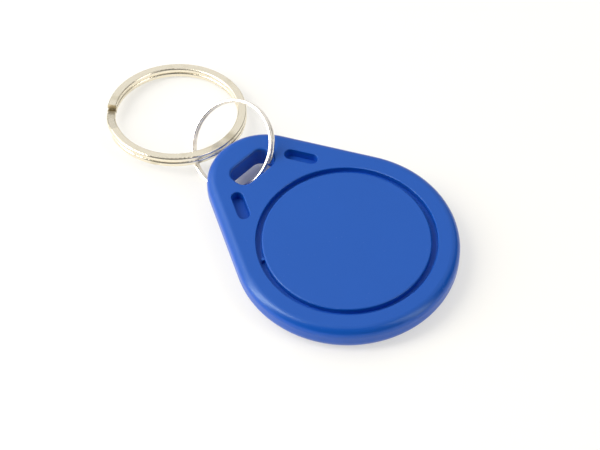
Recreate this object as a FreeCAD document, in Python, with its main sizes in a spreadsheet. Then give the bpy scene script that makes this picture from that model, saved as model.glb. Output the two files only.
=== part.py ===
"""Teardrop RFID key fob with its two key rings, as a parametric document.

Millimetres. The origin is the centre of the round head, on the fob's flat back. +Y runs to the
key slot at the tip, and +Z runs out through the lid on the front.
"""
import FreeCAD, Part
import math
import operator
import os
from enum import IntEnum

import Sketcher
from FreeCAD import Placement, Rotation, Vector

# Driving sizes, in millimetres and degrees
SIZES = {
    # moulded body: two round ends joined by straight flanks
    "head_radius": 16.0,
    "tip_radius": 8.4,
    "neck_gap": 0.1,
    "thickness": 4.2,
    "front_edge_radius": 1.3,
    "back_edge_radius": 1.9,
    "floor_thickness": 0.9,
    # lid, the groove round it and the ledge that it lies on
    "rim_width": 3.15,
    "groove_width": 0.85,
    "ledge_width": 1.0,
    "lid_thickness": 1.0,
    "seat_edge_radius": 0.12,
    "lid_edge_radius": 0.22,
    "spigot_clearance": 0.1,
    "spigot_wall": 0.8,
    "spigot_depth": 0.3,
    "gate_width": 0.4,
    "gate_root": 0.4,
    "gate_sink": 0.22,
    "gate_clearance": 0.42,
    "gate_angle": 149.4,
    # key slot, and the web that it leaves at the tip
    "web_width": 3.95,
    "slot_end_margin": 4.85,
    "slot_width": 3.65,
    "slot_corner_radius": 1.5,
    "slot_edge_radius": 0.3,
    "slot_back_edge_radius": 1.1,
    # blind recesses beside the slot, along the flanks
    "recess_length": 4.9,
    "recess_width": 1.75,
    "recess_depth": 1.5,
    "recess_inset": 3.5,
    "recess_setback": 3.9,
    "recess_edge_radius": 0.12,
    # winding, carrier, resin drop, solder drops and leads
    "coil_clearance": 0.2,
    "coil_headroom": 0.1,
    "coil_band": 2.4,
    "board_length": 9.0,
    "board_width": 4.0,
    "board_thickness": 0.5,
    "resin_radius": 1.8,
    "resin_height": 0.8,
    "solder_radius": 0.7,
    "solder_height": 0.45,
    "solder_inset": 0.9,
    "lead_radius": 0.1,
    "lead_bend_radius": 0.8,
    "lead_angle": 40.0,
    "lead_embed": 0.2,
    # small two-turn ring through the slot
    "jump_outer_radius": 6.7,
    "jump_wire_width": 0.5,
    "jump_wire_thickness": 0.53,
    "jump_wire_round": 0.17,
    "jump_rise_start": 195.0,
    "jump_rise_span": 83.0,
    "jump_end_gap": 1.0,
    "jump_end_splay": 0.18,
    "jump_end_splay_span": 100.0,
    "jump_lean": 41.4,
    "jump_hang_angle": 53.9,
    "jump_web_clearance": 0.12,
    # large two-turn ring, lying on the small one
    "split_outer_radius": 10.35,
    "split_wire_width": 1.3,
    "split_wire_thickness": 0.78,
    "split_wire_round": 0.24,
    "split_rise_start": 129.0,
    "split_rise_span": 28.0,
    "split_end_gap": 2.0,
    "split_lean": 7.75,
    "split_lean_heading": 46.7,
    "split_crossing_angle": 244.0,
    "jump_crossing_angle": 152.1,
    "crossing_clearance": 0.47,
    # the hairline between the two turns of a ring
    "turn_gap": 0.04,
}

DOC = FreeCAD.newDocument("rfid_key_fob_tag")
OPERATIONS = {"+": operator.add, "-": operator.sub, "*": operator.mul, "/": operator.truediv}


class Size:
    """A length or an angle: its expression in the document's sizes, and its present value."""

    def __init__(self, expression, value):
        self.expression = expression
        self.value = value

    def combine(self, sign, other):
        """Join two sizes, or a size and a number, with one of the four operations."""
        if not isinstance(other, Size):
            other = Size(str(other), float(other))
        value = OPERATIONS[sign](self.value, other.value)
        return Size(f"({self.expression} {sign} {other.expression})", value)

    def __add__(self, other):
        return self.combine("+", other)

    def __sub__(self, other):
        return self.combine("-", other)

    def __mul__(self, other):
        return self.combine("*", other)

    def __truediv__(self, other):
        return self.combine("/", other)

    def __neg__(self):
        return Size(f"(-{self.expression})", -self.value)


ZERO = Size("0", 0.0)


def sine(angle):
    """Return the sine of a size in degrees."""
    return Size(f"sin({angle.expression})", math.sin(math.radians(angle.value)))


def cosine(angle):
    """Return the cosine of a size in degrees."""
    return Size(f"cos({angle.expression})", math.cos(math.radians(angle.value)))


def arcsine(ratio):
    """Return the angle, in degrees, whose sine is a ratio."""
    return Size(f"asin({ratio.expression})", math.degrees(math.asin(ratio.value)))


def fill_sheet(values):
    """Write the driving sizes to the sheet, one named cell each, and return them by name."""
    sheet = DOC.addObject("Spreadsheet::Sheet", "sizes")
    for row, (name, value) in enumerate(values.items(), start=1):
        sheet.set(f"A{row}", name)
        sheet.set(f"B{row}", str(value))
        sheet.setAlias(f"B{row}", name)
    DOC.recompute()
    return {name: Size(f"sizes.{name}", float(sheet.get(name))) for name in values}


S = fill_sheet(SIZES)

# Heights above the fob's back
FRONT = S["thickness"]
LEDGE = FRONT - S["lid_thickness"]
FLOOR = S["floor_thickness"]
SPIGOT_END = LEDGE - S["spigot_depth"]
BOARD_TOP = FLOOR + S["board_thickness"]

# Radii about the head's centre, from the rim inwards
SEAT_RADIUS = S["head_radius"] - S["rim_width"]
LID_RADIUS = SEAT_RADIUS - S["groove_width"]
CAVITY_RADIUS = LID_RADIUS - S["ledge_width"]
SPIGOT_OUTER = CAVITY_RADIUS - S["spigot_clearance"]
SPIGOT_INNER = SPIGOT_OUTER - S["spigot_wall"]
COIL_OUTER = CAVITY_RADIUS - S["coil_clearance"]
COIL_INNER = COIL_OUTER - S["coil_band"]

# The round tip's centre lies just outside the round head
TIP_OFFSET = S["head_radius"] + S["neck_gap"]

# The flanks touch both round ends, and lean in towards the tip by this angle
FLANK_ANGLE = arcsine((S["head_radius"] - S["tip_radius"]) / TIP_OFFSET)
FLANK_LENGTH = TIP_OFFSET * cosine(FLANK_ANGLE)

# The key slot is measured back from the tip, and in from the tip's widest points
WEB_INSIDE = TIP_OFFSET + S["tip_radius"] - S["web_width"]
SLOT_CENTRE = WEB_INSIDE - S["slot_width"] / 2
SLOT_LENGTH = (S["tip_radius"] - S["slot_end_margin"]) * 2

SOLDER_PLACE = S["board_length"] / 2 - S["solder_inset"]

QUARTER_TURN = 90
HALF_TURN = 180
FULL_TURN = 360
ONE_TURN = Size(str(FULL_TURN), FULL_TURN)


class End(IntEnum):
    """Which point of a sketch's edge a constraint holds."""

    START = 1
    FINISH = 2
    CENTRE = 3


class Axis(IntEnum):
    """A sketch's own axes, by the numbers that its constraints take."""

    X = -1
    Y = -2


ORIGIN_POINT = (Axis.X, End.START)


def new_body(name):
    """Add an empty body whose label names its file."""
    body = DOC.addObject("PartDesign::Body", name)
    body.Label = name
    return body


def origin_plane(body, role):
    """Return one of a body's own origin planes."""
    return next(item for item in body.Origin.OriginFeatures if item.Role == role)


def new_sketch(body, name, plane, height=ZERO, turn=ZERO, shift=(ZERO, ZERO)):
    """Attach a sketch to one of the body's origin planes.

    height is along the plane's normal, and shift is the place in the plane. turn is about the
    origin's Z axis, which is the normal of XY_Plane and the vertical of XZ_Plane.
    """
    sketch = body.newObject("Sketcher::SketchObject", name)
    sketch.AttachmentSupport = [(origin_plane(body, plane), "")]
    sketch.MapMode = "FlatFace"
    axis = Vector(0, 0, 1) if plane == "XY_Plane" else Vector(0, 1, 0)
    sketch.AttachmentOffset = Placement(Vector(0, 0, 0), Rotation(axis, turn.value))
    if turn.value:
        sketch.setExpression("AttachmentOffset.Rotation.Angle", turn.expression)
    for direction, distance in zip("xyz", (*shift, height)):
        sketch.setExpression(f"AttachmentOffset.Base.{direction}", distance.expression)
    return sketch


def tie(sketch, kind, *where):
    """Add a constraint that has no size."""
    sketch.addConstraint(Sketcher.Constraint(kind, *where))


def measure(sketch, name, kind, *where, size):
    """Add a named constraint, and bind it to its size."""
    index = sketch.addConstraint(Sketcher.Constraint(kind, *where, size.value))
    sketch.renameConstraint(index, name)
    sketch.setExpression(f"Constraints.{name}", size.expression)


def add_line(sketch, start, end):
    """Draw a straight edge between two points."""
    return sketch.addGeometry(Part.LineSegment(Vector(*start), Vector(*end)), False)


def add_arc(sketch, centre, radius, first, last):
    """Draw an arc from one angle to another, in degrees, counter-clockwise."""
    circle = Part.Circle(Vector(*centre), Vector(0, 0, 1), radius)
    arc = Part.ArcOfCircle(circle, math.radians(first), math.radians(last))
    return sketch.addGeometry(arc, False)


def join_smoothly(sketch, edges):
    """Make each edge run on tangent into the next, round to the first again."""
    for edge, following in zip(edges, edges[1:] + edges[:1]):
        tie(sketch, "Tangent", edge, End.FINISH, following, End.START)


def draw_circle(sketch, radius):
    """Draw a circle about the sketch's origin."""
    circle = sketch.addGeometry(Part.Circle(Vector(), Vector(0, 0, 1), radius.value), False)
    tie(sketch, "Coincident", circle, End.CENTRE, *ORIGIN_POINT)
    measure(sketch, "radius", "Radius", circle, size=radius)


def draw_teardrop(sketch):
    """Draw the outline: two round ends joined by the flanks that touch both."""
    head, tip, offset = S["head_radius"], S["tip_radius"], TIP_OFFSET
    angle = FLANK_ANGLE.value
    across = math.cos(math.radians(angle))
    along = math.sin(math.radians(angle))
    low = (head.value * across, head.value * along)
    high = (tip.value * across, tip.value * along + offset.value)
    round_head = add_arc(sketch, (0, 0), head.value, HALF_TURN - angle, FULL_TURN + angle)
    right_flank = add_line(sketch, low, high)
    round_tip = add_arc(sketch, (0, offset.value), tip.value, angle, HALF_TURN - angle)
    left_flank = add_line(sketch, (-high[0], high[1]), (-low[0], low[1]))
    join_smoothly(sketch, [round_head, right_flank, round_tip, left_flank])
    tie(sketch, "Coincident", round_head, End.CENTRE, *ORIGIN_POINT)
    tie(sketch, "PointOnObject", round_tip, End.CENTRE, Axis.Y)
    measure(sketch, "head", "Radius", round_head, size=head)
    measure(sketch, "tip", "Radius", round_tip, size=tip)
    measure(sketch, "offset", "DistanceY", *ORIGIN_POINT, round_tip, End.CENTRE, size=offset)


def draw_round_rectangle(sketch, width, height, corner, centre=(ZERO, ZERO)):
    """Draw a rectangle with round corners about a centre."""
    x, y = centre[0].value, centre[1].value
    half_width, half_height = width.value / 2, height.value / 2
    edges = []
    for quarter, (side, end) in enumerate(((1, 1), (-1, 1), (-1, -1), (1, -1))):
        across = x + side * (half_width - corner.value)
        up = y + end * (half_height - corner.value)
        first = QUARTER_TURN * quarter
        arc = add_arc(sketch, (across, up), corner.value, first, first + QUARTER_TURN)
        if quarter % 2:
            wall = x + side * half_width
            line = add_line(sketch, (wall, up), (wall, 2 * y - up))
        else:
            wall = y + end * half_height
            line = add_line(sketch, (across, wall), (2 * x - across, wall))
        edges += [arc, line]
    join_smoothly(sketch, edges)
    first_arc, top, second_arc, left, third_arc, bottom, fourth_arc, right = edges
    for arc in (second_arc, third_arc, fourth_arc):
        tie(sketch, "Equal", first_arc, arc)
    tie(sketch, "Horizontal", top)
    tie(sketch, "Vertical", left)
    measure(sketch, "corner", "Radius", first_arc, size=corner)
    measure(sketch, "width", "DistanceX", left, End.START, right, End.START, size=width)
    measure(sketch, "height", "DistanceY", bottom, End.START, top, End.START, size=height)
    measure(
        sketch, "right_side", "DistanceX", *ORIGIN_POINT, right, End.START,
        size=centre[0] + width / 2,
    )
    measure(
        sketch, "top_side", "DistanceY", *ORIGIN_POINT, top, End.START,
        size=centre[1] + height / 2,
    )


def draw_obround(sketch, length, width):
    """Draw a slot shape with half-round ends about the origin, long along the sketch's Y."""
    radius = width / 2
    reach = length / 2 - radius
    far = add_arc(sketch, (0, reach.value), radius.value, 0, HALF_TURN)
    left = add_line(sketch, (-radius.value, reach.value), (-radius.value, -reach.value))
    near = add_arc(sketch, (0, -reach.value), radius.value, HALF_TURN, FULL_TURN)
    right = add_line(sketch, (radius.value, -reach.value), (radius.value, reach.value))
    join_smoothly(sketch, [far, left, near, right])
    tie(sketch, "Equal", far, near)
    tie(sketch, "PointOnObject", far, End.CENTRE, Axis.Y)
    tie(sketch, "PointOnObject", near, End.CENTRE, Axis.Y)
    measure(sketch, "end_radius", "Radius", far, size=radius)
    measure(sketch, "far_end", "DistanceY", *ORIGIN_POINT, far, End.CENTRE, size=reach)
    measure(sketch, "near_end", "DistanceY", near, End.CENTRE, *ORIGIN_POINT, size=reach)


def draw_polygon(sketch, corners):
    """Draw a closed polygon through corners, each a pair of sizes."""
    places = [(x.value, y.value) for x, y in corners]
    edges = [add_line(sketch, start, end) for start, end in zip(places, places[1:] + places[:1])]
    for edge, following in zip(edges, edges[1:] + edges[:1]):
        tie(sketch, "Coincident", edge, End.FINISH, following, End.START)
    for number, (edge, (x, y)) in enumerate(zip(edges, corners), start=1):
        if x is ZERO:
            tie(sketch, "PointOnObject", edge, End.START, Axis.Y)
        else:
            measure(sketch, f"x_{number}", "DistanceX", *ORIGIN_POINT, edge, End.START, size=x)
        measure(sketch, f"y_{number}", "DistanceY", *ORIGIN_POINT, edge, End.START, size=y)


def pad(body, sketch, name, length):
    """Raise a sketch along its normal."""
    feature = body.newObject("PartDesign::Pad", name)
    feature.Profile = sketch
    feature.setExpression("Length", length.expression)
    DOC.recompute()
    return feature


def pocket(body, sketch, name, depth):
    """Cut a sketch down against its normal, and make sure that it removes material."""
    DOC.recompute()
    before = body.Shape.Volume
    feature = body.newObject("PartDesign::Pocket", name)
    feature.Profile = sketch
    feature.setExpression("Length", depth.expression)
    DOC.recompute()
    if body.Shape.Volume >= before:
        raise RuntimeError(f"{name} removes nothing")
    return feature


def revolve(body, sketch, name, angle=ONE_TURN):
    """Turn a sketch about its own vertical axis."""
    feature = body.newObject("PartDesign::Revolution", name)
    feature.Profile = sketch
    feature.ReferenceAxis = (sketch, ["V_Axis"])
    feature.setExpression("Angle", angle.expression)
    DOC.recompute()
    return feature


def fillet(body, name, radius, chosen):
    """Round the edges of the body's present shape that the chosen test accepts."""
    base = body.Tip
    names = [f"Edge{number}" for number, edge in enumerate(base.Shape.Edges, start=1) if chosen(edge)]
    feature = body.newObject("PartDesign::Fillet", name)
    feature.Base = (base, names)
    feature.setExpression("Radius", radius.expression)
    DOC.recompute()
    return feature


NEAR = 1e-4


def at_height(edge, height):
    """Say whether a whole edge lies at one height."""
    box = edge.BoundBox
    return abs(box.ZMin - height.value) < NEAR and abs(box.ZMax - height.value) < NEAR


def is_circle(edge, radius):
    """Say whether an edge is part of a circle of one radius."""
    return edge.Curve.TypeId == "Part::GeomCircle" and abs(edge.Curve.Radius - radius.value) < NEAR


def in_slot(edge):
    """Say whether an edge lies on the key slot's wall."""
    middle = edge.valueAt((edge.FirstParameter + edge.LastParameter) / 2)
    within_length = abs(middle.x) < SLOT_LENGTH.value / 2 + NEAR
    return within_length and abs(middle.y - SLOT_CENTRE.value) < S["slot_width"].value / 2 + NEAR


def in_recess(edge):
    """Say whether an edge lies on the wall of either blind recess."""
    middle = edge.valueAt((edge.FirstParameter + edge.LastParameter) / 2)
    offset = Vector(abs(middle.x), middle.y, 0) - Vector(*(size.value for size in recess_centre()), 0)
    return offset.Length < S["recess_length"].value / 2 + NEAR


def recess_centre():
    """Return the right recess's place, inset from its flank and set back from the flank's end."""
    inward = S["head_radius"] - S["recess_inset"]
    along = FLANK_LENGTH - S["recess_setback"]
    return (
        inward * cosine(FLANK_ANGLE) - along * sine(FLANK_ANGLE),
        inward * sine(FLANK_ANGLE) + along * cosine(FLANK_ANGLE),
    )


def build_shell():
    """Build the moulded body: teardrop, lid seat, cavity, key slot and two blind recesses."""
    body = new_body("fob_shell")
    outline = new_sketch(body, "outline", "XY_Plane")
    draw_teardrop(outline)
    pad(body, outline, "teardrop", FRONT)
    fillet(body, "front_edge", S["front_edge_radius"], lambda edge: at_height(edge, FRONT))
    fillet(body, "back_edge", S["back_edge_radius"], lambda edge: at_height(edge, ZERO))

    seat = new_sketch(body, "seat_circle", "XY_Plane", FRONT)
    draw_circle(seat, SEAT_RADIUS)
    pocket(body, seat, "lid_seat", S["lid_thickness"])
    cavity = new_sketch(body, "cavity_circle", "XY_Plane", LEDGE)
    draw_circle(cavity, CAVITY_RADIUS)
    pocket(body, cavity, "cavity", LEDGE - FLOOR)

    slot = new_sketch(body, "slot_outline", "XY_Plane", FRONT, shift=(ZERO, SLOT_CENTRE))
    draw_round_rectangle(slot, SLOT_LENGTH, S["slot_width"], S["slot_corner_radius"])
    pocket(body, slot, "key_slot", FRONT)

    recess = new_sketch(body, "recess_outline", "XY_Plane", FRONT, FLANK_ANGLE, recess_centre())
    draw_obround(recess, S["recess_length"], S["recess_width"])
    right_recess = pocket(body, recess, "right_recess", S["recess_depth"])
    left_recess = body.newObject("PartDesign::Mirrored", "left_recess")
    left_recess.Originals = [right_recess]
    left_recess.MirrorPlane = (origin_plane(body, "YZ_Plane"), [""])
    body.Tip = left_recess
    DOC.recompute()

    fillet(
        body, "slot_edge", S["slot_edge_radius"],
        lambda edge: in_slot(edge) and at_height(edge, FRONT),
    )
    fillet(
        body, "slot_back_edge", S["slot_back_edge_radius"],
        lambda edge: in_slot(edge) and at_height(edge, ZERO),
    )
    fillet(
        body, "recess_edges", S["recess_edge_radius"],
        lambda edge: in_recess(edge) and at_height(edge, FRONT),
    )
    fillet(
        body, "seat_edge", S["seat_edge_radius"],
        lambda edge: is_circle(edge, SEAT_RADIUS) and at_height(edge, FRONT),
    )
    return body


def build_lid():
    """Build the round lid with its locating ring below and the moulding gate left on its rim."""
    body = new_body("front_lid")
    section = new_sketch(body, "lid_section", "XZ_Plane")
    draw_polygon(section, [
        (ZERO, FRONT),
        (LID_RADIUS, FRONT),
        (LID_RADIUS, LEDGE),
        (SPIGOT_OUTER, LEDGE),
        (SPIGOT_OUTER, SPIGOT_END),
        (SPIGOT_INNER, SPIGOT_END),
        (SPIGOT_INNER, LEDGE),
        (ZERO, LEDGE),
    ])
    revolve(body, section, "lid_disc")
    fillet(
        body, "lid_rim", S["lid_edge_radius"],
        lambda edge: is_circle(edge, LID_RADIUS) and at_height(edge, FRONT),
    )
    gate = new_sketch(body, "gate_outline", "XY_Plane", LEDGE, S["gate_angle"])
    root = LID_RADIUS - S["gate_root"]
    reach = SEAT_RADIUS - S["gate_clearance"]
    half_width = S["gate_width"] / 2
    draw_polygon(gate, [
        (root, -half_width), (reach, -half_width), (reach, half_width), (root, half_width)
    ])
    pad(body, gate, "gate", S["lid_thickness"] - S["gate_sink"])
    return body


def build_coil():
    """Build the flat ring of enamelled wire that lies on the cavity's floor, under the lid."""
    body = new_body("antenna_coil")
    section = new_sketch(body, "winding_section", "XZ_Plane")
    top = SPIGOT_END - S["coil_headroom"]
    draw_polygon(section, [(COIL_INNER, FLOOR), (COIL_OUTER, FLOOR), (COIL_OUTER, top), (COIL_INNER, top)])
    revolve(body, section, "winding")
    return body


def build_board():
    """Build the chip's carrier, lying on the floor inside the winding."""
    body = new_body("chip_board")
    outline = new_sketch(body, "board_outline", "XY_Plane", FLOOR)
    half_length, half_width = S["board_length"] / 2, S["board_width"] / 2
    draw_polygon(outline, [
        (-half_length, -half_width), (half_length, -half_width),
        (half_length, half_width), (-half_length, half_width),
    ])
    pad(body, outline, "board", S["board_thickness"])
    return body


def build_drop(name, radius, height, across=ZERO):
    """Build a drop of resin or solder that stands on the board, as a cap of a sphere."""
    body = new_body(name)
    ball = (radius * radius + height * height) / (height * 2)
    section = new_sketch(body, f"{name}_section", "XZ_Plane")
    rim_angle = math.degrees(math.asin(1 - height.value / ball.value))
    base = BOARD_TOP.value
    top = base + height.value
    cap = add_arc(section, (0, top - ball.value), ball.value, rim_angle, QUARTER_TURN)
    axis = add_line(section, (0, top), (0, base))
    foot = add_line(section, (0, base), (radius.value, base))
    tie(section, "Coincident", cap, End.FINISH, axis, End.START)
    tie(section, "Coincident", axis, End.FINISH, foot, End.START)
    tie(section, "Coincident", foot, End.FINISH, cap, End.START)
    tie(section, "PointOnObject", cap, End.CENTRE, Axis.Y)
    tie(section, "PointOnObject", cap, End.FINISH, Axis.Y)
    tie(section, "PointOnObject", axis, End.FINISH, Axis.Y)
    tie(section, "Horizontal", foot)
    measure(section, "ball", "Radius", cap, size=ball)
    measure(section, "foot_radius", "DistanceX", foot, End.START, foot, End.FINISH, size=radius)
    measure(section, "foot_height", "DistanceY", *ORIGIN_POINT, foot, End.START, size=BOARD_TOP)
    revolve(body, section, f"{name}_cap")
    body.setExpression("Placement.Base.x", across.expression)
    return body


def build_lead(name, turn):
    """Build one end of the winding's wire: out of the coil, round a bend and into the solder.

    turn is the angle about the fob's centre from the first lead to this one.
    """
    body = new_body(name)
    run = (COIL_INNER + S["lead_embed"]) * cosine(S["lead_angle"])
    rise = (COIL_INNER + S["lead_embed"]) * sine(S["lead_angle"])
    bend = S["lead_bend_radius"]
    height = BOARD_TOP + S["lead_radius"]

    path = new_sketch(body, f"{name}_path", "XY_Plane", height)
    drop = add_line(path, (run.value, rise.value), (run.value, bend.value))
    straight_down = FULL_TURN - QUARTER_TURN
    corner = add_arc(path, (run.value - bend.value, bend.value), bend.value, straight_down, FULL_TURN)
    inward = add_line(path, (run.value - bend.value, 0), (SOLDER_PLACE.value, 0))
    tie(path, "Tangent", drop, End.FINISH, corner, End.FINISH)
    tie(path, "Tangent", corner, End.START, inward, End.START)
    tie(path, "Vertical", drop)
    tie(path, "Horizontal", inward)
    tie(path, "PointOnObject", inward, End.FINISH, Axis.X)
    measure(path, "bend", "Radius", corner, size=bend)
    measure(path, "run", "DistanceX", *ORIGIN_POINT, drop, End.START, size=run)
    measure(path, "rise", "DistanceY", *ORIGIN_POINT, drop, End.START, size=rise)
    measure(path, "solder", "DistanceX", *ORIGIN_POINT, inward, End.FINISH, size=SOLDER_PLACE)

    section = new_sketch(body, f"{name}_section", "XZ_Plane", -rise, shift=(run, height))
    draw_circle(section, S["lead_radius"])
    wire = body.newObject("PartDesign::AdditivePipe", f"{name}_wire")
    wire.Profile = section
    wire.Spine = (path, ["Edge1", "Edge2", "Edge3"])
    body.Placement = Placement(Vector(0, 0, 0), Rotation(Vector(0, 0, 1), turn))
    DOC.recompute()
    return body


def build_ring(name, kind, end_stands_off=False):
    """Build a split ring about Z: a lower turn, the short rise across, and an upper turn.

    kind is the first word of the ring's own sizes. The wire climbs counter-clockwise. Where
    end_stands_off is set, the lower turn's free end is sprung away from the upper turn.
    """
    body = new_body(name)
    width, thickness = S[f"{kind}_wire_width"], S[f"{kind}_wire_thickness"]
    centre = S[f"{kind}_outer_radius"] - width / 2
    pitch = thickness + S["turn_gap"]
    rise_start, rise_span = S[f"{kind}_rise_start"], S[f"{kind}_rise_span"]
    end_gap = S[f"{kind}_end_gap"]

    def wire_section(label, turn, height):
        section = new_sketch(body, f"{name}_{label}_section", "XZ_Plane", turn=turn)
        draw_round_rectangle(section, width, thickness, S[f"{kind}_wire_round"], (centre, height))
        return section

    def climb(label, start, span, height, rise):
        section = wire_section(label, start, height)
        helix = body.newObject("PartDesign::AdditiveHelix", f"{name}_{label}")
        helix.Profile = section
        helix.ReferenceAxis = (section, ["V_Axis"])
        helix.Mode = "height-turns-angle"
        helix.setExpression("Height", rise.expression)
        helix.setExpression("Turns", (span / FULL_TURN).expression)
        DOC.recompute()

    rise_end = rise_start + rise_span
    lower_start = rise_end + end_gap
    level_span = ONE_TURN - rise_span - end_gap
    lower_span = level_span
    if end_stands_off:
        splay, splay_span = S[f"{kind}_end_splay"], S[f"{kind}_end_splay_span"]
        climb("free_end", lower_start, splay_span, -pitch / 2 - splay, splay)
        lower_start = lower_start + splay_span
        lower_span = level_span - splay_span
    lower = wire_section("lower_turn", lower_start, -pitch / 2)
    revolve(body, lower, f"{name}_lower_turn", lower_span)
    climb("rise", rise_start, rise_span, -pitch / 2, pitch)
    upper = wire_section("upper_turn", rise_end, pitch / 2)
    revolve(body, upper, f"{name}_upper_turn", level_span)
    return body


def value(name):
    """Return the present value of a driving size."""
    return S[name].value


def direction(rotation, angle):
    """Return the way that an angle in a turned XY plane points."""
    turned = math.radians(angle)
    return rotation.multVec(Vector(math.cos(turned), math.sin(turned), 0))


def place_jump_ring(body):
    """Hang the small ring in the key slot, round the web between the slot and the tip.

    The ring's plane holds the fob's long axis at mid thickness, and leans up by jump_lean. Its
    inside clears the back edge of the web, which lies jump_hang_angle off the ring's centre.
    """
    lean, hang = math.radians(value("jump_lean")), math.radians(value("jump_hang_angle"))
    inside = value("jump_outer_radius") - value("jump_wire_width") - value("jump_web_clearance")
    along = WEB_INSIDE.value + inside * math.cos(hang)
    up_the_lean = inside * math.sin(hang) - FRONT.value / 2 / math.sin(lean)
    centre = Vector(
        up_the_lean * math.cos(lean), along, FRONT.value / 2 + up_the_lean * math.sin(lean)
    )
    body.Placement = Placement(centre, Rotation(Vector(0, 1, 0), -value("jump_lean")))


def stack_height(kind):
    """Return the height of a ring's two turns, one on the other."""
    return 2 * value(f"{kind}_wire_thickness") + value("turn_gap")


def middle_radius(kind):
    """Return the radius of the middle of a ring's wire."""
    return value(f"{kind}_outer_radius") - value(f"{kind}_wire_width") / 2


def place_split_ring(body, jump):
    """Lay the large ring over the small one, where the small one passes under its wire."""
    heading = value("split_lean_heading") + QUARTER_TURN
    lean = Rotation(direction(Rotation(), heading), value("split_lean"))
    normal = lean.multVec(Vector(0, 0, 1))

    jump_turn = jump.Placement.Rotation
    outward = direction(jump_turn, value("jump_crossing_angle"))
    crossing = jump.Placement.Base + outward * middle_radius("jump")
    half_stack = stack_height("jump") / 2 * abs(jump_turn.multVec(Vector(0, 0, 1)).dot(normal))
    half_wire = value("jump_wire_width") / 2 * abs(outward.dot(normal))
    lift = stack_height("split") / 2 + half_stack + half_wire + value("crossing_clearance")

    to_crossing = direction(lean, value("split_crossing_angle")) * middle_radius("split")
    body.Placement = Placement(crossing + normal * lift - to_crossing, lean)


def check_and_write(bodies):
    """Check every object and every piece, then write one file for each piece."""
    DOC.recompute()
    for item in DOC.Objects:
        if "Invalid" in item.State or "Error" in item.State:
            raise RuntimeError(f"{item.Label} did not build: {item.State}")
    for body in bodies:
        shape = body.Shape
        if shape.isNull() or not shape.isValid() or len(shape.Solids) != 1:
            raise RuntimeError(f"{body.Label} is not one valid solid")
    os.makedirs("parts", exist_ok=True)
    for body in bodies:
        body.Shape.exportStep(f"parts/{body.Label}.step")
        print(f"{body.Label}: volume {body.Shape.Volume:.2f} mm3")


def main():
    """Build the fob, what it holds inside and its rings."""
    bodies = [build_shell(), build_lid(), build_coil(), build_board()]
    bodies.append(build_drop("chip_resin", S["resin_radius"], S["resin_height"]))
    solder = (S["solder_radius"], S["solder_height"])
    bodies.append(build_drop("solder_joint_1", *solder, SOLDER_PLACE))
    bodies.append(build_drop("solder_joint_2", *solder, -SOLDER_PLACE))
    bodies.append(build_lead("coil_lead_1", 0))
    bodies.append(build_lead("coil_lead_2", HALF_TURN))
    jump = build_ring("jump_ring", "jump", end_stands_off=True)
    place_jump_ring(jump)
    split = build_ring("split_ring", "split")
    place_split_ring(split, jump)
    check_and_write(bodies + [jump, split])


main()
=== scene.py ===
"""Looks of a teardrop key fob tag with its two split rings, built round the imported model."""
from __future__ import annotations

import logging
import math
from dataclasses import dataclass, field
from enum import Enum
from typing import Any, Union

import bpy
import numpy as np
from mathutils import Matrix, Vector

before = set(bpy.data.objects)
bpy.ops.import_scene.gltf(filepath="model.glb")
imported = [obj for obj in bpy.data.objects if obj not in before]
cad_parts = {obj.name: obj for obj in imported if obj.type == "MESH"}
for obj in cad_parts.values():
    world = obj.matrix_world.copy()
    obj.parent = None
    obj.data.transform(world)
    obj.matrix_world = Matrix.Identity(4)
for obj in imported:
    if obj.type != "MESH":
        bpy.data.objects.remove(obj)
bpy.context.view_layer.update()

LOG = logging.getLogger("key_fob")
MM = 0.001

Colour = tuple[float, float, float]
Circle = tuple[float, float, float]
Place = tuple[float, float]
Band = tuple[float, float]

BLACK: Colour = (0.0, 0.0, 0.0)
WHITE: Colour = (1.0, 1.0, 1.0)

NOISE_MIDDLE = 0.5

# The Mix node's sockets for colours have numbers, as other sockets share their names
MIX_SHARE = 0
MIX_FIRST = 6
MIX_SECOND = 7
MIX_RESULT = 2

# The screen's curve is straight up to its knee and a power above it
HIGHEST_LEVEL = 255
CURVE_KNEE = 0.04045
CURVE_SLOPE = 12.92
CURVE_SHIFT = 0.055
CURVE_POWER = 2.4


def srgb(red: int, green: int, blue: int) -> Colour:
    """Turn an 8-bit screen colour into the linear colour that shaders take.

    Args:
        red: Red, 0 to 255.
        green: Green, 0 to 255.
        blue: Blue, 0 to 255.

    Returns:
        The linear colour.
    """
    def linear(level: int) -> float:
        """Undo the screen's curve for one channel.

        Args:
            level: The channel's level, 0 to 255.

        Returns:
            The linear level, 0 to 1.
        """
        share = level / HIGHEST_LEVEL
        if share <= CURVE_KNEE:
            return share / CURVE_SLOPE
        return ((share + CURVE_SHIFT) / (1 + CURVE_SHIFT)) ** CURVE_POWER

    return linear(red), linear(green), linear(blue)


def rgba(colour: Colour) -> tuple[float, float, float, float]:
    """Add full opacity to a colour."""
    return (*colour, 1.0)


def scaled(colour: Colour, factor: float) -> Colour:
    """Multiply a colour by a number."""
    return tuple(channel * factor for channel in colour)


def blended(first: Colour, second: Colour, share: float) -> Colour:
    """Mix two colours, with a share of the second one."""
    return tuple(one + (other - one) * share for one, other in zip(first, second))


# Shader building

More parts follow.
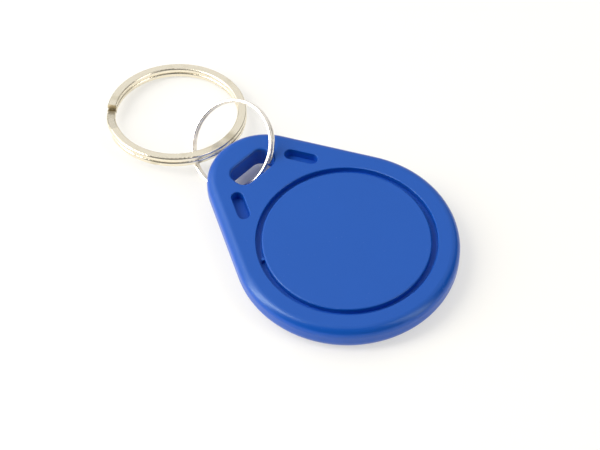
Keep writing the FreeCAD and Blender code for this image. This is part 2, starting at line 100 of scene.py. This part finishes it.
class Signal:
    """One number that varies over a surface: a node's output with arithmetic on it."""

    def __init__(self, graph: "Graph", socket: bpy.types.NodeSocket) -> None:
        """Wrap the socket of a graph."""
        self.graph = graph
        self.socket = socket

    def _maths(self, operation: str, *values: "Number") -> "Signal":
        """Add one Math node over the values."""
        settings = {"operation": operation}
        return self.graph.signal("ShaderNodeMath", settings, dict(enumerate(values)))

    def __add__(self, other: "Number") -> "Signal":
        """Add."""
        return self._maths("ADD", self, other)

    __radd__ = __add__

    def __sub__(self, other: "Number") -> "Signal":
        """Subtract."""
        return self._maths("SUBTRACT", self, other)

    def __rsub__(self, other: "Number") -> "Signal":
        """Subtract from a number."""
        return self._maths("SUBTRACT", other, self)

    def __mul__(self, other: "Number") -> "Signal":
        """Multiply."""
        return self._maths("MULTIPLY", self, other)

    __rmul__ = __mul__

    def __truediv__(self, other: "Number") -> "Signal":
        """Divide."""
        return self._maths("DIVIDE", self, other)

    def __rtruediv__(self, other: "Number") -> "Signal":
        """Divide a number by this one."""
        return self._maths("DIVIDE", other, self)

    def __pow__(self, other: "Number") -> "Signal":
        """Raise to a power."""
        return self._maths("POWER", self, other)

    def __rpow__(self, other: "Number") -> "Signal":
        """Raise a number to this power."""
        return self._maths("POWER", other, self)

    def __abs__(self) -> "Signal":
        """Drop the sign."""
        return self._maths("ABSOLUTE", self)

    def sine(self) -> "Signal":
        """Take the sine of an angle in radians."""
        return self._maths("SINE", self)

    def angle_to(self, other: "Signal") -> "Signal":
        """Take the angle of the point (other, self), in radians."""
        return self._maths("ARCTAN2", self, other)

    def ramp(self, start: float, end: float, low: float = 0.0, high: float = 1.0) -> "Signal":
        """Blend smoothly from one level to another while this number crosses a band.

        Args:
            start: Where the blend starts.
            end: Where it ends, above start.
            low: Level up to the start.
            high: Level from the end on.

        Returns:
            The blended level.
        """
        values = {"Value": self, "From Min": start, "From Max": end, "To Min": low, "To Max": high}
        return self.graph.signal("ShaderNodeMapRange", {"interpolation_type": "SMOOTHSTEP"}, values)


Number = Union[Signal, float]


class Graph:
    """A node tree that is being filled."""

    def __init__(self, tree: bpy.types.NodeTree) -> None:
        """Empty the tree and start on it."""
        self.tree = tree
        tree.nodes.clear()

    def node(self, kind: str, settings: dict[str, Any] | None = None,
             values: dict[str | int, Any] | None = None) -> bpy.types.Node:
        """Add one node.

        Args:
            kind: The node's type.
            settings: Its properties, which are set first.
            values: A value, a Signal or an output socket for each input, by name or number.

        Returns:
            The node.
        """
        made = self.tree.nodes.new(kind)
        for name, setting in (settings or {}).items():
            setattr(made, name, setting)
        for key, value in (values or {}).items():
            source = value.socket if isinstance(value, Signal) else value
            if isinstance(source, bpy.types.NodeSocket):
                self.tree.links.new(source, made.inputs[key])
            else:
                made.inputs[key].default_value = source
        return made

    def signal(self, kind: str, settings: dict[str, Any] | None = None,
               values: dict[str | int, Any] | None = None, output: str | int = 0) -> Signal:
        """Add one node and wrap one of its outputs.

        Args:
            kind: The node's type.
            settings: Its properties.
            values: What its inputs take.
            output: The output's name or number.

        Returns:
            The output.
        """
        return Signal(self, self.node(kind, settings, values).outputs[output])

    def position(self) -> bpy.types.NodeSocket:
        """Give the point of the surface in the part's own frame, in metres."""
        return self.node("ShaderNodeTexCoord").outputs["Object"]

    def axes(self, vector: bpy.types.NodeSocket) -> tuple[Signal, Signal, Signal]:
        """Split a vector into its three numbers."""
        split = self.node("ShaderNodeSeparateXYZ", values={0: vector})
        return tuple(Signal(self, socket) for socket in split.outputs)

    def vector(self, x: Number, y: Number, z: Number) -> bpy.types.NodeSocket:
        """Join three numbers into a vector."""
        return self.node("ShaderNodeCombineXYZ", values={0: x, 1: y, 2: z}).outputs[0]

    def along(self, vector: bpy.types.NodeSocket, axis: Vector) -> Signal:
        """Measure a vector along an axis."""
        return self.signal("ShaderNodeVectorMath", {"operation": "DOT_PRODUCT"},
                           {0: vector, 1: axis}, "Value")

    def noise(self, vector: bpy.types.NodeSocket, size: float, detail: float = 3.0,
              roughness: float = 0.5) -> Signal:
        """Add cloudy noise between 0 and 1.

        Args:
            vector: The place that it is read at.
            size: The size of its largest clouds, in the vector's own units.
            detail: How many finer layers it has.
            roughness: How strong the finer layers are.

        Returns:
            The noise.
        """
        values = {"Vector": vector, "Scale": 1 / size, "Detail": detail, "Roughness": roughness}
        return self.signal("ShaderNodeTexNoise", {"noise_dimensions": "3D"}, values, "Fac")

    def mix(self, share: Number, first: Any, second: Any) -> bpy.types.NodeSocket:
        """Blend two colours.

        Args:
            share: How much of the second colour, 0 to 1.
            first: A colour or a colour socket.
            second: A colour or a colour socket.

        Returns:
            The blended colour.
        """
        first, second = (colour if isinstance(colour, bpy.types.NodeSocket) else rgba(colour)
                         for colour in (first, second))
        values = {MIX_SHARE: share, MIX_FIRST: first, MIX_SECOND: second}
        return self.node("ShaderNodeMix", {"data_type": "RGBA"}, values).outputs[MIX_RESULT]

    def bump(self, height: Signal, depth: float) -> bpy.types.NodeSocket:
        """Turn a height between 0 and 1 into a surface normal, with the full depth in metres."""
        values = {"Height": height, "Distance": depth, "Strength": 1.0}
        return self.node("ShaderNodeBump", values=values).outputs[0]

    def principled(self, values: dict[str | int, Any]) -> None:
        """Make a principled shader with these inputs the surface of the material."""
        self.surface(self.node("ShaderNodeBsdfPrincipled", values=values))

    def surface(self, shader: bpy.types.Node) -> None:
        """Make the shader the surface of the material."""
        self.node("ShaderNodeOutputMaterial", values={"Surface": shader.outputs[0]})


def length(first: Signal, second: Signal) -> Signal:
    """Measure the length of a flat vector."""
    return (first * first + second * second) ** 0.5


class Ray(str, Enum):
    """Kinds of ray that show the background, as the Light Path node names them."""

    CAMERA = "Is Camera Ray"
    MIRRORED = "Is Glossy Ray"
    THROUGH_GLASS = "Is Transmission Ray"


# Finishes

@dataclass(frozen=True)
class Finish:
    """What every finish has: a name and the way its material is made."""

    name: str

    def material(self) -> bpy.types.Material:
        """Build the material.

        Returns:
            The new material.
        """
        made = bpy.data.materials.new(self.name)
        made.use_nodes = True
        self.fill(Graph(made.node_tree))
        return made

    def fill(self, graph: Graph) -> None:
        """Add the finish's own nodes."""
        raise NotImplementedError


@dataclass(frozen=True)
class MouldedPlastic(Finish):
    """Coloured moulded plastic with a fine eroded texture and faint handling marks.

    The flat face is satin, from face_from up. The rounded edges, below edge_below, and the back,
    up to back_skin, are smoother. recesses are circles on the face, as x, y and radius, that hold
    what is sunk below it, which is rougher. All that lies below walls_below has the wall colour, a
    richer, brighter blue: painted light that stands in for light scattered and bounced inside the
    plastic onto its walls and into its recesses.
    """

    colour: Colour
    painted_light_wall_colour: Colour
    face_roughness: float
    edge_roughness: float
    recess_roughness: float
    recesses: tuple[Circle, ...]
    recess_border: float = 0.3 * MM
    face_from: float = 4.19 * MM
    edge_below: float = 4.08 * MM
    walls_below: float = 3.7 * MM
    walls_fade: float = 0.25 * MM
    back_skin: float = 1.2 * MM
    back_bare: float = 0.3 * MM
    cloud_size: float = 7 * MM
    cloud_shade: float = 0.94
    cloud_roughness: float = 0.06
    grain_size: float = 0.09 * MM
    grain_depth: float = 0.0016 * MM
    grain_sharpness: float = 0.6
    rub_width: float = 0.05 * MM
    rub_length: float = 2.2 * MM
    rub_band: Band = (0.66, 0.8)
    rub_roughness: float = 0.05
    rub_relief: float = 0.35
    speck_size: float = 0.35 * MM
    speck_band: Band = (0.74, 0.8)
    speck_share: float = 0.35
    chalk: Colour = (0.35, 0.45, 0.7)
    chalk_share: float = 0.25
    refraction: float = 1.54
    gloss_tint: Colour = (0.72, 0.93, 0.97)

    def fill(self, graph: Graph) -> None:
        """Add the nodes of the plastic.

        Args:
            graph: The node tree to fill.
        """
        point = graph.position()
        x, y, height = graph.axes(point)
        cloud = graph.noise(point, self.cloud_size, detail=2.0)
        grain = graph.noise(point, self.grain_size, roughness=self.grain_sharpness)
        strokes = graph.vector(x / self.rub_width, y / self.rub_length, 0.0)
        rub = graph.noise(strokes, size=1.0, detail=2.0).ramp(*self.rub_band)
        speck = graph.noise(point, self.speck_size, detail=1.0).ramp(*self.speck_band)
        body = graph.mix(cloud, scaled(self.colour, self.cloud_shade), self.colour)
        chalked = blended(self.colour, self.chalk, self.chalk_share)
        dusty = graph.mix(speck * self.speck_share, body, chalked)
        # Below walls_below the blue turns to the wall colour: painted light on the walls and in the
        # recesses.
        below_face = 1 - height.ramp(self.walls_below - self.walls_fade, self.walls_below)
        skin = height.ramp(self.edge_below, self.face_from, self.edge_roughness, self.face_roughness)
        sunk = below_face * height.ramp(self.back_bare, self.back_skin) * self._inside(x, y)
        unpolished = self.recess_roughness - self.edge_roughness
        roughness = (skin + self.cloud_roughness * (cloud - NOISE_MIDDLE) + self.rub_roughness * rub
                     + unpolished * sunk)
        graph.principled({
            "Base Color": graph.mix(below_face, dusty, self.painted_light_wall_colour), "Roughness": roughness,
            "IOR": self.refraction, "Specular Tint": rgba(self.gloss_tint),
            "Normal": graph.bump(grain - self.rub_relief * rub, self.grain_depth)})

    def _inside(self, x: Signal, y: Signal) -> Signal:
        """Tell the places within a recess's circle from those outside.

        Args:
            x: The place's x.
            y: The place's y.

        Returns:
            1 within a circle, and 0 outside all of them.
        """
        outside: Number = 1.0
        for across, along, reach in self.recesses:
            offset = length(x - across, y - along)
            outside = outside * offset.ramp(reach - self.recess_border, reach)
        return 1 - outside


@dataclass(frozen=True)
class DarkStretch:
    """A stretch of a ring's wire painted darker brown: its middle and reach, in degrees, and its depth,
    0 to 1.
    """

    middle: float
    reach: float
    depth: float


@dataclass(frozen=True)
class NickelWire(Finish):
    """Nickel plated steel wire, drawn along its length, with tarnish in patches.

    The wire turns round centre in the plane square to normal. cut is where its ends were sheared
    off dull. It and the middles of the dark stretches are angles in degrees from across.
    """

    colour: Colour
    tarnish: Colour
    roughness: float
    centre: Vector
    normal: Vector
    across: Vector
    cut: float
    dark_stretches: tuple[DarkStretch, ...]
    cut_reach: float = 4.0
    cut_roughness: float = 0.12
    line_width: float = 0.035 * MM
    lines_per_radian: float = 5.0
    line_roughness: float = 0.07
    line_relief: float = 0.6
    patch_size: float = 2.4 * MM
    patch_band: Band = (0.52, 0.78)
    patch_share: float = 0.4
    patch_roughness: float = 0.10
    nick_size: float = 0.22 * MM
    nick_band: Band = (0.68, 0.76)
    nick_roughness: float = 0.06
    nick_relief: float = 0.8
    relief_depth: float = 0.0012 * MM

    def fill(self, graph: Graph) -> None:
        """Add the nodes of the plated wire.

        Args:
            graph: The node tree to fill.
        """
        point = graph.position()
        offset = graph.node("ShaderNodeVectorMath", {"operation": "SUBTRACT"},
                            {0: point, 1: self.centre}).outputs[0]
        ahead, side, up = (graph.along(offset, axis) for axis
                           in (self.across, self.normal.cross(self.across), self.normal))
        turn = side.angle_to(ahead)
        drawn = graph.vector(length(ahead, side) / self.line_width, up / self.line_width,
                             turn * self.lines_per_radian)
        line = graph.noise(drawn, size=1.0, detail=2.0)
        patch = graph.noise(point, self.patch_size).ramp(*self.patch_band)
        nick = graph.noise(point, self.nick_size, detail=2.0).ramp(*self.nick_band)
        colour = graph.mix(patch * self.patch_share, self.colour, self.tarnish)
        brown = tuple(channel * channel for channel in self.tarnish)
        # Each dark stretch mixes the wire's colour toward brown; the split ring's one at its cut is
        # painted shade.
        for stretch in self.dark_stretches:
            darkened = self._near(turn, stretch.middle, 0.0, stretch.reach)
            colour = graph.mix(darkened * stretch.depth, colour, brown)
        sheared = self._near(turn, self.cut, self.cut_reach / 2, self.cut_reach)
        roughness = (self.roughness + self.line_roughness * (line - NOISE_MIDDLE)
                     + self.patch_roughness * patch + self.nick_roughness * nick
                     + self.cut_roughness * sheared)
        relief = self.line_relief * line - self.nick_relief * nick
        graph.principled({"Base Color": colour, "Metallic": 1.0, "Roughness": roughness,
                          "Normal": graph.bump(relief, self.relief_depth)})

    @staticmethod
    def _near(turn: Signal, middle: float, full: float, reach: float) -> Signal:
        """Tell how near a turn is to an angle.

        Args:
            turn: The turn, in radians.
            middle: The angle, in degrees.
            full: How far from it the answer stays 1, in degrees.
            reach: From how far on it is 0, in degrees.

        Returns:
            1 near the angle, and 0 away from it.
        """
        return 1 - abs(turn - math.radians(middle)).ramp(math.radians(full), math.radians(reach))


@dataclass(frozen=True)
class EnamelledWinding(Finish):
    """Enamelled copper wire wound in close turns round the head's axis, with painted shade in the
    grooves between turns.
    """

    colour: Colour
    wire: float = 0.1 * MM
    painted_groove_shade: float = 0.45
    ridge_share: float = 0.7
    shade_size: float = 0.9 * MM
    shade_share: float = 0.3
    metallic: float = 0.85
    roughness: float = 0.28
    shade_roughness: float = 0.15
    relief_depth: float = 0.03 * MM

    def fill(self, graph: Graph) -> None:
        """Add the nodes of the winding.

        Args:
            graph: The node tree to fill.
        """
        point = graph.position()
        x, y, z = graph.axes(point)
        waves = math.pi / self.wire
        ridge = abs((length(x, y) * waves).sine()) * abs((z * waves).sine())
        shade = graph.noise(point, self.shade_size)
        # The colour darkens where ridge falls to 0, in the grooves between turns: painted shade.
        colour = graph.mix(ridge * self.ridge_share + shade * self.shade_share,
                           scaled(self.colour, self.painted_groove_shade), self.colour)
        graph.principled({"Base Color": colour, "Metallic": self.metallic,
                          "Roughness": self.roughness + self.shade_roughness * shade,
                          "Normal": graph.bump(ridge, self.relief_depth)})


@dataclass(frozen=True)
class GlassLaminate(Finish):
    """Woven glass laminate under a solder mask."""

    colour: Colour
    thread_colour: Colour
    thread: float = 0.35 * MM
    weave_share: float = 0.35
    blotch_size: float = 1.5 * MM
    blotch_share: float = 0.25
    roughness: float = 0.36
    blotch_roughness: float = 0.12
    relief_depth: float = 0.006 * MM

    def fill(self, graph: Graph) -> None:
        """Add the nodes of the laminate.

        Args:
            graph: The node tree to fill.
        """
        point = graph.position()
        x, y, _ = graph.axes(point)
        waves = math.pi / self.thread
        weave = abs((x * waves).sine()) * abs((y * waves).sine())
        blotch = graph.noise(point, self.blotch_size, detail=2.0)
        colour = graph.mix(weave * self.weave_share + blotch * self.blotch_share,
                           self.colour, self.thread_colour)
        graph.principled({"Base Color": colour,
                          "Roughness": self.roughness + self.blotch_roughness * blotch,
                          "Normal": graph.bump(weave, self.relief_depth)})


@dataclass(frozen=True)
class PottedResin(Finish):
    """Glossy black resin, poured over the chip and set with a faint ripple."""

    colour: Colour
    dust_colour: Colour
    ripple_size: float = 1.1 * MM
    ripple_depth: float = 0.02 * MM
    dust_size: float = 0.12 * MM
    dust_band: Band = (0.66, 0.76)
    dust_share: float = 0.5
    roughness: float = 0.16
    dust_roughness: float = 0.2

    def fill(self, graph: Graph) -> None:
        """Add the nodes of the resin.

        Args:
            graph: The node tree to fill.
        """
        point = graph.position()
        ripple = graph.noise(point, self.ripple_size, detail=2.0)
        dust = graph.noise(point, self.dust_size, detail=2.0).ramp(*self.dust_band)
        graph.principled({"Base Color": graph.mix(dust * self.dust_share, self.colour, self.dust_colour),
                          "Roughness": self.roughness + self.dust_roughness * dust,
                          "Normal": graph.bump(ripple, self.ripple_depth)})


@dataclass(frozen=True)
class SetSolder(Finish):
    """Solder that set with a slightly crystalline skin."""

    colour: Colour
    crystal_size: float = 0.16 * MM
    crystal_shade: float = 0.7
    crystal_depth: float = 0.01 * MM
    roughness: float = 0.24
    crystal_roughness: float = 0.22

    def fill(self, graph: Graph) -> None:
        """Add the nodes of the solder.

        Args:
            graph: The node tree to fill.
        """
        crystal = graph.noise(graph.position(), self.crystal_size)
        colour = graph.mix(crystal, scaled(self.colour, self.crystal_shade), self.colour)
        graph.principled({"Base Color": colour, "Metallic": 1.0,
                          "Roughness": self.roughness + self.crystal_roughness * crystal,
                          "Normal": graph.bump(crystal, self.crystal_depth)})


@dataclass(frozen=True)
class PaperTable(Finish):
    """Matt white table that stays white to the camera and still takes the fob's shadow.

    glow is its share of white that no shadow dims. It is gone near dim_centre, where little
    light gets in under the key slot, and it is all there is far from the fob.
    """

    colour: Colour
    glow: float
    dim_centre: Place = (2.7 * MM, 19.1 * MM)
    dim_within: float = 3.4 * MM
    dim_until: float = 6.6 * MM
    white_from: float = 60.0 * MM
    white_beyond: float = 200.0 * MM
    tooth_size: float = 0.6 * MM
    tooth_shade: float = 0.985

    def fill(self, graph: Graph) -> None:
        """Add the nodes of the table.

        Args:
            graph: The node tree to fill.
        """
        point = graph.position()
        tooth = graph.noise(point, self.tooth_size)
        paper = graph.mix(tooth, scaled(self.colour, self.tooth_shade), self.colour)
        matt = graph.node("ShaderNodeBsdfDiffuse", values={"Color": paper})
        bright = graph.node("ShaderNodeEmission", values={"Color": rgba(self.colour), "Strength": 1.0})
        x, y, _ = graph.axes(point)
        across, along = self.dim_centre
        from_slot = length(x - across, y - along)
        glow = self.glow * from_slot.ramp(self.dim_within, self.dim_until)
        share = glow + (1 - glow) * from_slot.ramp(self.white_from, self.white_beyond)
        graph.surface(graph.node("ShaderNodeMixShader", values={
            0: self._seen(graph) * share, 1: matt.outputs[0], 2: bright.outputs[0]}))

    @staticmethod
    def _seen(graph: Graph) -> Signal:
        """Tell the rays that show the background from light that falls on a surface.

        Args:
            graph: The node tree to add to.

        Returns:
            1 for a ray of one of the kinds of Ray, and 0 for light.
        """
        path = graph.node("ShaderNodeLightPath")
        unseen: Number = 1.0
        for ray in Ray:
            unseen = unseen * (1 - Signal(graph, path.outputs[ray.value]))
        return 1 - unseen


# The fob's own pieces

def dress(node: str, finish: Finish) -> None:
    """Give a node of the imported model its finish.

    Args:
        node: The node's name.
        finish: The finish that its surface takes.
    """
    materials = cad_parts[node].data.materials
    materials.clear()
    materials.append(finish.material())
    LOG.info("%s is dressed in %s", node, finish.name)


@dataclass
class Housing:
    """The teardrop shell and the round lid in it."""

    blue: Colour = (0.0003, 0.074, 0.425)
    # Walls and recesses take this brighter blue: painted light that stands in for light scattered inside
    # the plastic.
    painted_light_wall_blue: Colour = (0.0, 0.079, 0.49)
    shell_roughness: float = 0.43
    lid_roughness: float = 0.44
    edge_roughness: float = 0.30
    recess_roughness: float = 0.6
    lid_seat: Circle = (0.0, 0.0, 13.5 * MM)
    key_slot: Circle = (0.0, 18.7 * MM, 4.4 * MM)
    right_recess: Circle = (6.15 * MM, 14.98 * MM, 3.0 * MM)
    left_recess: Circle = (-6.15 * MM, 14.98 * MM, 3.0 * MM)

    def build(self) -> None:
        """Dress the shell and the lid."""
        dress("fob_shell", self._plastic("shell_plastic", self.shell_roughness))
        dress("front_lid", self._plastic("lid_plastic", self.lid_roughness))

    def _plastic(self, name: str, face_roughness: float) -> MouldedPlastic:
        """Mix the plastic of one moulding."""
        recesses = (self.lid_seat, self.key_slot, self.right_recess, self.left_recess)
        return MouldedPlastic(name, self.blue, self.painted_light_wall_blue, face_roughness, self.edge_roughness,
                              self.recess_roughness, recesses)


@dataclass
class Transponder:
    """The winding, the chip board and their joints inside the fob."""

    copper: Colour = (0.72, 0.30, 0.12)
    mask: Colour = (0.02, 0.12, 0.05)
    masked_thread: Colour = (0.04, 0.19, 0.085)
    tin: Colour = (0.72, 0.72, 0.70)
    resin: Colour = (0.012, 0.012, 0.013)
    resin_dust: Colour = (0.062, 0.062, 0.063)

    def build(self) -> None:
        """Dress the inner pieces."""
        winding = EnamelledWinding("enamelled_copper", self.copper)
        dress("antenna_coil", winding)
        for number in (1, 2):
            dress(f"coil_lead_{number}", winding)
            dress(f"solder_joint_{number}", SetSolder("set_solder", self.tin))
        dress("chip_board", GlassLaminate("glass_laminate", self.mask, self.masked_thread))
        dress("chip_resin", PottedResin("black_resin", self.resin, self.resin_dust))


@dataclass
class Rings:
    """The small wire ring through the key slot and the flat key ring on it, each of two turns."""

    small: NickelWire = NickelWire(
        "jump_ring_nickel", colour=(0.90, 0.86, 0.79), tarnish=(0.50, 0.44, 0.32), roughness=0.28,
        centre=Vector((1.303, 24.1323, 3.2487)) * MM, normal=Vector((-0.6613, 0.0, 0.7501)),
        across=Vector((0.7501, 0.0, 0.6613)), cut=-165.0, dark_stretches=(DarkStretch(147.0, 14.0, 0.3),))
    large: NickelWire = NickelWire(
        "split_ring_nickel", colour=(0.92, 0.85, 0.69), tarnish=(0.52, 0.45, 0.28), roughness=0.26,
        centre=Vector((1.3872, 35.9832, 0.0076)) * MM, normal=Vector((0.0925, 0.0981, 0.9909)),
        across=Vector((0.9957, -0.0046, -0.0925)), cut=129.0,
        # The dark stretch at 128.5 degrees, by the cut, is painted shade in the gap at the wire's
        # sheared end; the one at -82 degrees darkens the wire to brown.
        dark_stretches=(DarkStretch(-82.0, 8.0, 0.35), DarkStretch(128.5, 3.0, 0.9)))

    def build(self) -> None:
        """Dress both rings."""
        dress("jump_ring", self.small)
        dress("split_ring", self.large)


# Table, light and camera

@dataclass
class Table:
    """The pale table that the fob and its rings lie on, sloping in the fob's own frame."""

    half_size: float = 1.2
    colour: Colour = srgb(254, 253, 249)
    glow: float = 0.55
    steepest: float = math.radians(6)
    steps: int = 30

    def build(self) -> None:
        """Lay the table under the lowest points of the fob and of its rings."""
        shell = self._points("fob_shell")
        rings = np.vstack([self._points("jump_ring"), self._points("split_ring")])
        tilt = self._slope(shell, rings)
        height = min(self._lowest(shell, tilt), self._lowest(rings, tilt))
        LOG.info("the table slopes by %.2f degrees", math.degrees(tilt))
        mesh = bpy.data.meshes.new("table")
        size = self.half_size
        corners = [(-size, -size, 0), (size, -size, 0), (size, size, 0), (-size, size, 0)]
        mesh.from_pydata(corners, [], [(0, 1, 2, 3)])
        mesh.materials.append(PaperTable("white_table", self.colour, self.glow).material())
        table = bpy.data.objects.new("table", mesh)
        raised = Matrix.Translation(Vector(self._up(tilt)) * height)
        table.matrix_world = raised @ Matrix.Rotation(-tilt, 4, "X")
        bpy.context.scene.collection.objects.link(table)

    def _slope(self, shell: np.ndarray, rings: np.ndarray) -> float:
        """Find the slope at which the shell and the rings both touch the table.

        Args:
            shell: The shell's points.
            rings: The points of both rings.

        Returns:
            The slope, in radians.
        """
        low, high = 0.0, self.steepest
        for _ in range(self.steps):
            tilt = (low + high) / 2
            if self._lowest(rings, tilt) < self._lowest(shell, tilt):
                low = tilt
            else:
                high = tilt
        return tilt

    @staticmethod
    def _points(node: str) -> np.ndarray:
        """List the points of a node."""
        return np.array([vertex.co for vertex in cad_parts[node].data.vertices])

    @staticmethod
    def _up(tilt: float) -> np.ndarray:
        """Point straight up from a table that slopes by the tilt."""
        return np.array([0.0, math.sin(tilt), math.cos(tilt)])

    def _lowest(self, points: np.ndarray, tilt: float) -> float:
        """Measure the lowest point over the sloping table's own level."""
        return float((points @ self._up(tilt)).min())


@dataclass(frozen=True)
class Softbox:
    """A flat soft lamp.

    bearing is the way to it from the fob, clockwise from straight away from the camera, and
    elevation its height over the table, in degrees. brightness is on the scale where a lit
    white sheet has 1.
    """

    name: str
    bearing: float
    elevation: float
    width: float
    height: float
    brightness: float
    distance: float = 0.62
    colour: Colour = (1.0, 0.965, 0.92)


@dataclass
class Studio:
    """The soft lights, the room and the camera.

    backdrop_level, side_level and near_level are how bright the room is behind the fob, beside it
    and on the camera's side. Each band is where one passes into the next, as a cosine.
    """

    lamps: tuple[Softbox, ...] = (
        Softbox("near_left_softbox", bearing=-98.0, elevation=34.0, width=0.20, height=0.80,
                brightness=8.3),
        Softbox("far_left_softbox", bearing=-62.0, elevation=32.0, width=0.42, height=0.70,
                brightness=1.6),
        Softbox("right_softbox", bearing=116.0, elevation=34.0, width=0.20, height=0.70,
                brightness=2.8),
    )
    backdrop_level: float = 0.86
    side_level: float = 0.05
    near_level: float = 0.16
    backdrop_band: Band = (0.52, 0.86)
    near_band: Band = (-0.25, 0.35)
    background: Colour = srgb(254, 254, 250)

    target: Vector = field(default_factory=lambda: Vector((-0.00053636, 0.00867119, 0.0)))
    azimuth: float = math.radians(-45.7937)
    elevation: float = math.radians(53.4389)
    roll: float = math.radians(-0.0584)
    distance: float = 0.3702004
    nearest: float = 0.01
    farthest: float = 20.0
    focal_pixels: float = 2583.09
    image_width: int = 600
    sensor: float = 36.0

    def build(self) -> None:
        """Set up the camera, the lamps and the room."""
        bpy.context.scene.view_settings.view_transform = "Standard"
        self._set_camera()
        self._set_room()
        for lamp in self.lamps:
            self._hang(lamp)

    def _directions(self) -> tuple[Vector, Vector, Vector]:
        """Turn the camera's azimuth, elevation and roll into directions.

        Returns:
            The camera's right, up and backward directions.
        """
        back = self._front() * math.cos(self.elevation) + Vector((0, 0, math.sin(self.elevation)))
        right = Vector((math.cos(self.azimuth), math.sin(self.azimuth), 0.0))
        up = back.cross(right)
        cosine, sine = math.cos(self.roll), math.sin(self.roll)
        return right * cosine + up * sine, up * cosine - right * sine, back

    def _front(self) -> Vector:
        """Point level from the fob to the camera's side."""
        return Vector((math.sin(self.azimuth), -math.cos(self.azimuth), 0.0))

    def _backdrop(self) -> Vector:
        """Point from the fob to the part of the room that its flat face mirrors."""
        return Vector((0, 0, math.sin(self.elevation))) - self._front() * math.cos(self.elevation)

    def _set_camera(self) -> None:
        """Place the camera where the photograph was taken from."""
        right, up, back = self._directions()
        lens = bpy.data.cameras.new("camera")
        lens.sensor_width = self.sensor
        lens.lens = self.focal_pixels * self.sensor / self.image_width
        lens.clip_start, lens.clip_end = self.nearest, self.farthest
        camera = bpy.data.objects.new("camera", lens)
        turn = Matrix((right, up, back)).transposed().to_4x4()
        camera.matrix_world = Matrix.Translation(self.target + back * self.distance) @ turn
        bpy.context.scene.collection.objects.link(camera)
        bpy.context.scene.camera = camera

    def _set_room(self) -> None:
        """Give the room a pale backdrop, which the fob's face mirrors, and darker sides."""
        world = bpy.data.worlds.new("room")
        world.use_nodes = True
        bpy.context.scene.world = world
        graph = Graph(world.node_tree)
        direction = graph.node("ShaderNodeTexCoord").outputs["Generated"]
        toward_camera = graph.along(direction, self._front())
        toward_backdrop = graph.along(direction, self._backdrop())
        level = toward_backdrop.ramp(*self.backdrop_band, self.side_level, self.backdrop_level)
        lit = graph.mix(level, BLACK, WHITE)
        seen = graph.mix(toward_camera.ramp(*self.near_band), lit, scaled(WHITE, self.near_level))
        path = graph.node("ShaderNodeLightPath")
        colour = graph.mix(Signal(graph, path.outputs[Ray.CAMERA.value]), seen, self.background)
        shine = graph.node("ShaderNodeBackground", values={"Color": colour, "Strength": 1.0})
        graph.node("ShaderNodeOutputWorld", values={"Surface": shine.outputs[0]})

    def _hang(self, softbox: Softbox) -> None:
        """Hang a softbox so that it faces the fob.

        Args:
            softbox: The lamp to hang.
        """
        rise = math.radians(softbox.elevation)
        heading = self.azimuth - math.radians(softbox.bearing)
        level = Vector((-math.sin(heading), math.cos(heading), 0.0))
        toward = level * math.cos(rise) + Vector((0.0, 0.0, math.sin(rise)))
        lamp = bpy.data.lights.new(softbox.name, "AREA")
        lamp.shape = "RECTANGLE"
        lamp.color = softbox.colour
        lamp.size, lamp.size_y = softbox.width, softbox.height
        lamp.energy = softbox.brightness * math.pi * softbox.width * softbox.height
        piece = bpy.data.objects.new(softbox.name, lamp)
        piece.location = self.target + toward * softbox.distance
        piece.rotation_euler = toward.to_track_quat("Z", "Y").to_euler()
        bpy.context.scene.collection.objects.link(piece)


def main() -> None:
    """Build every assembly in order."""
    logging.basicConfig(level=logging.INFO, format="%(name)s: %(message)s")
    for assembly in (Housing(), Transponder(), Rings(), Table(), Studio()):
        assembly.build()
        LOG.info("%s is built", type(assembly).__name__)


if __name__ == "__main__":
    main()
